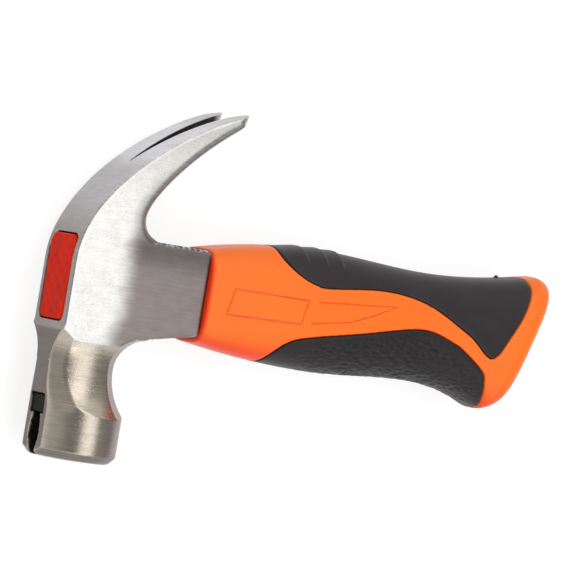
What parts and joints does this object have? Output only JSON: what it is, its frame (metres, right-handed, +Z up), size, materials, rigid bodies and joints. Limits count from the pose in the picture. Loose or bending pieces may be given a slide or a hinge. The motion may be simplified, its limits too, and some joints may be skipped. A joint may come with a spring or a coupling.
{
  "type": "stubby claw hammer",
  "caption": "Short hand hammer with a ground steel head, a slotted curved claw, a nail groove with a magnet on the poll, and a moulded handle with rubber grips.",
  "frame": {"origin": "under the middle of the hammer lying on its side, on the surface it lies on", "axes": "+X along the handle from the head to the butt, +Y along the head from the striking face to the claw, +Z up through the cheeks"},
  "size_m": [0.1614, 0.1072, 0.0272],
  "materials": {
    "steel": "ground bright, fine grinding lines",
    "magnet": "black, matte",
    "resin": "cured resin, glossy red",
    "core": "fibreglass bar",
    "body": "moulded, smooth orange",
    "rubber": "matte black, moulded texture"
  },
  "bodies": {
    "root": {"head": "steel", "nail_magnet": "magnet", "eye_resin": "resin", "handle_core": "core", "handle_body": "body", "upper_grip": "rubber", "lower_grip": "rubber"}
  },
  "joints": []
}
